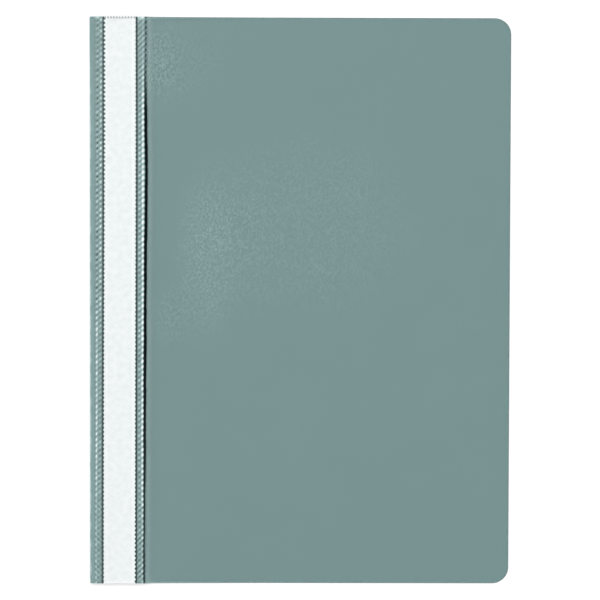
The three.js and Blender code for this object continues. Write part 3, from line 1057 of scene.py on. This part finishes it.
def prong_ribbon():
    """Prong strip of sheet steel with bent corners and round tips. Each prong has a shallow
    rib down its middle: a bell across it, faded out towards both ends."""
    fastener = settings("fastener")
    path = prong_path()
    slope = np.gradient(path, axis=0)
    slope /= np.linalg.norm(slope, axis=1)[:, None]
    down = np.stack([-slope[:, 1], slope[:, 0]], -1)
    past = np.clip((np.abs(path[:, 0]) - (PRONG_HIGH.y - PRONG_HALF)) / PRONG_HALF, 0.0, 1.0)
    almost_tip = 0.9995
    reach = PRONG_HALF * np.sqrt(1 - np.minimum(past, almost_tip) ** 2)
    across = np.linspace(-1.0, 1.0, 25)[None, :] * reach[:, None]
    out = np.abs(path[:, 0])[:, None]
    start = fastener.prong_spacing / 2
    ribbed = (smooth_step(out, start + 3 * MM, start + 5 * MM)
              * smooth_step(PRONG_HIGH.y - out, 5 * MM, 8 * MM))
    rib_half = 0.9 * MM
    rib = fastener.rib_height * np.exp(-(across / rib_half) ** 4) * ribbed
    sides = []
    for way in (-1, 1):
        offset = way * fastener.sheet / 2 - rib
        y = path[:, :1] + offset * down[:, :1]
        z = path[:, 1:] + offset * down[:, 1:]
        sides.append(np.stack([PRONG_X + across, y, z], -1))
    return shell("prong_ribbon", *sides)


def rounded_bar():
    """Cover bar: the tray with its bridges and slots, every edge rounded as moulded."""
    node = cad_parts["cover_bar"]
    work = bmesh.new()
    work.from_mesh(node.data)
    work.transform(node.matrix_world)
    bmesh.ops.remove_doubles(work, verts=work.verts, dist=MM / 1000)
    flat = math.radians(2)
    bmesh.ops.dissolve_limit(work, angle_limit=flat, verts=work.verts, edges=work.edges)
    sharp = [edge for edge in work.edges if edge.is_manifold and edge.calc_face_angle() > SHARP_ANGLE]
    bmesh.ops.bevel(work, geom=sharp, offset=settings("fastener").bar_edge, segments=3,
                    profile=0.5, affect="EDGES", clamp_overlap=True)
    bmesh.ops.recalc_face_normals(work, faces=work.faces)
    mesh = bpy.data.meshes.new("rounded_bar")
    work.to_mesh(mesh)
    work.free()
    return place_mesh("rounded_bar", mesh)


# Stage

def add_lamp(name, place, target, size, power):
    """Square soft lamp at a place, aimed at a target."""
    data = bpy.data.lights.new(name, "AREA")
    data.shape = "SQUARE"
    data.size = size
    data.energy = power
    lamp = bpy.data.objects.new(name, data)
    bpy.context.scene.collection.objects.link(lamp)
    lamp.location = place
    aim = Vector(target) - Vector(place)
    lamp.rotation_euler = aim.to_track_quat("-Z", "Y").to_euler()


def white_for_the_camera(tree, shader_out, strength):
    """Adds plain white where a camera, glossy or see-through ray looks, so the backdrop reads
    as white and still takes the folder's shadow."""
    path = tree.nodes.new("ShaderNodeLightPath").outputs
    seen = math_node(tree, "MAXIMUM", path["Is Camera Ray"], path["Is Glossy Ray"])
    seen = math_node(tree, "MAXIMUM", seen, path["Is Transmission Ray"])
    glow = tree.nodes.new("ShaderNodeEmission")
    tree.links.new(math_node(tree, "MULTIPLY", seen, strength), glow.inputs["Strength"])
    both = tree.nodes.new("ShaderNodeAddShader")
    tree.links.new(shader_out, both.inputs[0])
    tree.links.new(glow.outputs["Emission"], both.inputs[1])
    return both.outputs["Shader"]


def make_floor(glow):
    """Plain pale floor just under the folder."""
    side, drop = 6.0, 0.02 * MM
    bpy.ops.mesh.primitive_plane_add(size=side, location=(0.0, 0.0, -drop))
    floor = bpy.context.object
    floor.name = "floor"
    material = bpy.data.materials.new("floor_white")
    material.use_nodes = True
    tree = material.node_tree
    tree.nodes.clear()
    out = tree.nodes.new("ShaderNodeOutputMaterial")
    matt = tree.nodes.new("ShaderNodeBsdfDiffuse")
    matt.inputs["Color"].default_value = (0.9, 0.9, 0.9, 1.0)
    lit = white_for_the_camera(tree, matt.outputs["BSDF"], glow)
    tree.links.new(lit, out.inputs["Surface"])
    floor.data.materials.append(material)


def make_world(strength):
    """Even white light from all round, plain white where the camera looks."""
    world = bpy.data.worlds.new("studio")
    bpy.context.scene.world = world
    world.use_nodes = True
    tree = world.node_tree
    tree.nodes.clear()
    out = tree.nodes.new("ShaderNodeOutputWorld")
    light = tree.nodes.new("ShaderNodeBackground")
    light.inputs["Strength"].default_value = strength
    seen = tree.nodes.new("ShaderNodeBackground")
    seen.inputs["Strength"].default_value = 1.0
    path = tree.nodes.new("ShaderNodeLightPath")
    pick = tree.nodes.new("ShaderNodeMixShader")
    tree.links.new(path.outputs["Is Camera Ray"], pick.inputs["Fac"])
    tree.links.new(light.outputs["Background"], pick.inputs[1])
    tree.links.new(seen.outputs["Background"], pick.inputs[2])
    tree.links.new(pick.outputs["Shader"], out.inputs["Surface"])


def make_camera(place, tilt, width):
    """Camera over the folder, leaning a little, with a long lens."""
    data = bpy.data.cameras.new("camera")
    camera = bpy.data.objects.new("camera", data)
    bpy.context.scene.collection.objects.link(camera)
    camera.location = place
    camera.rotation_euler = tilt
    data.sensor_width = 36.0
    data.lens = data.sensor_width * place[2] / width
    data.clip_start = 0.05
    data.clip_end = 20.0
    bpy.context.scene.camera = camera


# Operators

class FLATFILE_OT_coloured_film(Operator):
    """Builds the coloured film: the back cover, the spine and the front strip"""
    bl_idname = "flatfile.coloured_film"
    bl_label = "Coloured film"

    def execute(self, context):
        material = coloured_film_material()
        radius = settings("film").fold_radius
        back = back_film()
        dress(back, material, "coloured_film", "back_cover", "spine_wall")
        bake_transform(back)
        strip = strip_film()
        dress(strip, material, "coloured_film", "front_strip")
        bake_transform(strip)
        return {"FINISHED"}


class FLATFILE_OT_clear_film(Operator):
    """Builds the clear film: the welded label window and the front cover"""
    bl_idname = "flatfile.clear_film"
    bl_label = "Clear film"

    def execute(self, context):
        plain = clear_film_material("clear_film", 0.5)
        # Low-gloss copy for the faces that carry the painted shadow of the crease, so its black stays
        # black.
        crease = clear_film_material("clear_film_crease_shade", 0.05)
        window = welded_window()
        dress(window, plain, "clear_film", "label_window")
        dress_faces(window, crease, STRIP_END - 0.45 * MM, FORE_X)
        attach(window, "strip")
        cover = cover_film()
        dress(cover, plain, "clear_film", "front_cover")
        dress_faces(cover, crease, SPINE_X, STRIP_END + 1.6 * MM)
        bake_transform(cover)
        return {"FINISHED"}


class FLATFILE_OT_label(Operator):
    """Builds the label card in its pocket"""
    bl_idname = "flatfile.label"
    bl_label = "Label card"

    def execute(self, context):
        label = label_sheet()
        dress(label, label_material(), "label_paper", "label_card")
        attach(label, "strip")
        return {"FINISHED"}


class FLATFILE_OT_fastener(Operator):
    """Builds the prong strip and the cover bar"""
    bl_idname = "flatfile.fastener"
    bl_label = "Fastener"

    def execute(self, context):
        ribbon = prong_ribbon()
        dress(ribbon, steel_material(), "prong_steel", "prong_strip")
        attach(ribbon, "strip")
        bar = rounded_bar()
        dress(bar, bar_material(), "bar_plastic", "cover_bar")
        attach(bar, "strip")
        return {"FINISHED"}


class FLATFILE_OT_stage(Operator):
    """Makes the floor, the light and the camera"""
    bl_idname = "flatfile.stage"
    bl_label = "Stage"

    def execute(self, context):
        stage = settings("stage")
        make_floor(stage.floor_glow)
        make_world(stage.world_light)
        add_lamp("soft_key", stage.key_place, (0.0, 0.0, 0.0), stage.key_size, stage.key_power)
        make_camera(stage.camera_place, stage.camera_tilt, stage.picture_width)
        context.scene.view_settings.view_transform = "Standard"
        return {"FINISHED"}


class FLATFILE_PT_panel(Panel):
    """Lists the folder's pieces and their sizes"""
    bl_label = "Flat file"
    bl_idname = "FLATFILE_PT_panel"
    bl_space_type = "VIEW_3D"
    bl_region_type = "UI"
    bl_category = "Flat file"

    def draw(self, context):
        layout = self.layout
        for kind in GROUPS:
            box = layout.box()
            box.label(text=kind.capitalize())
            group = settings(kind)
            for name in group.__annotations__:
                box.prop(group, name)
        for operator in OPERATORS:
            layout.operator(operator.bl_idname)


OPERATORS = (
    FLATFILE_OT_stage, FLATFILE_OT_coloured_film, FLATFILE_OT_clear_film,
    FLATFILE_OT_label, FLATFILE_OT_fastener,
)
GROUPS = {
    "film": FilmSettings, "weld": WeldSettings, "fastener": FastenerSettings, "stage": StageSettings,
}


def register():
    for kind, group in GROUPS.items():
        bpy.utils.register_class(group)
        setattr(bpy.types.Scene, "flat_file_" + kind, PointerProperty(type=group))
    for cls in (*OPERATORS, FLATFILE_PT_panel):
        bpy.utils.register_class(cls)


def unregister():
    for cls in (FLATFILE_PT_panel, *reversed(OPERATORS)):
        bpy.utils.unregister_class(cls)
    for kind, group in GROUPS.items():
        delattr(bpy.types.Scene, "flat_file_" + kind)
        bpy.utils.unregister_class(group)


def main():
    register()
    bpy.ops.flatfile.stage()
    bpy.ops.flatfile.coloured_film()
    bpy.ops.flatfile.clear_film()
    bpy.ops.flatfile.label()
    bpy.ops.flatfile.fastener()


if __name__ == "__main__":
    main()
